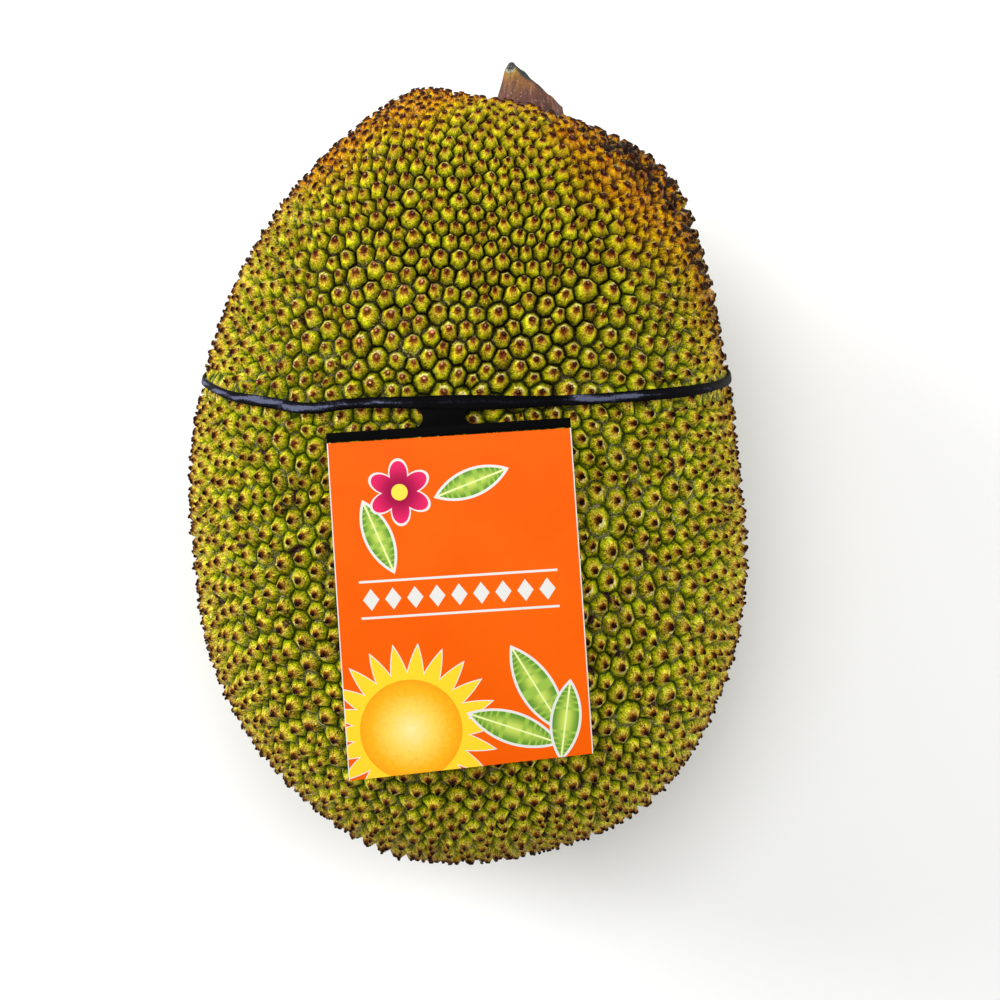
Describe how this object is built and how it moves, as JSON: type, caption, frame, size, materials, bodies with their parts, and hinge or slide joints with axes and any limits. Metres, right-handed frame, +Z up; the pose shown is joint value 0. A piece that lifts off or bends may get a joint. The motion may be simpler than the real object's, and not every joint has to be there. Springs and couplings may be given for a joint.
{
  "type": "jackfruit",
  "caption": "Whole jackfruit lying on its side, its rind covered in blunt spines, with a short cut stalk and a card tag on a black rubber band.",
  "frame": {"origin": "middle of the part's footprint, on the surface that the fruit rests on", "axes": "+Z up, +Y along the fruit's long axis towards its stalk, +X across the fruit, with the card on the upper side"},
  "size_m": [0.2552, 0.3684, 0.2285],
  "materials": {
    "rind": "satin, yellow-green spines with brown tips and orange ripe patches",
    "bark": "rough brown bark with a dark cut face",
    "black_rubber": "semi-matt, scuffed",
    "printed_card": "coated card, printed orange with a thin white edge"
  },
  "bodies": {
    "root": {"fruit": "rind", "stalk": "bark", "strap": "black_rubber", "card": "printed_card"}
  },
  "joints": []
}
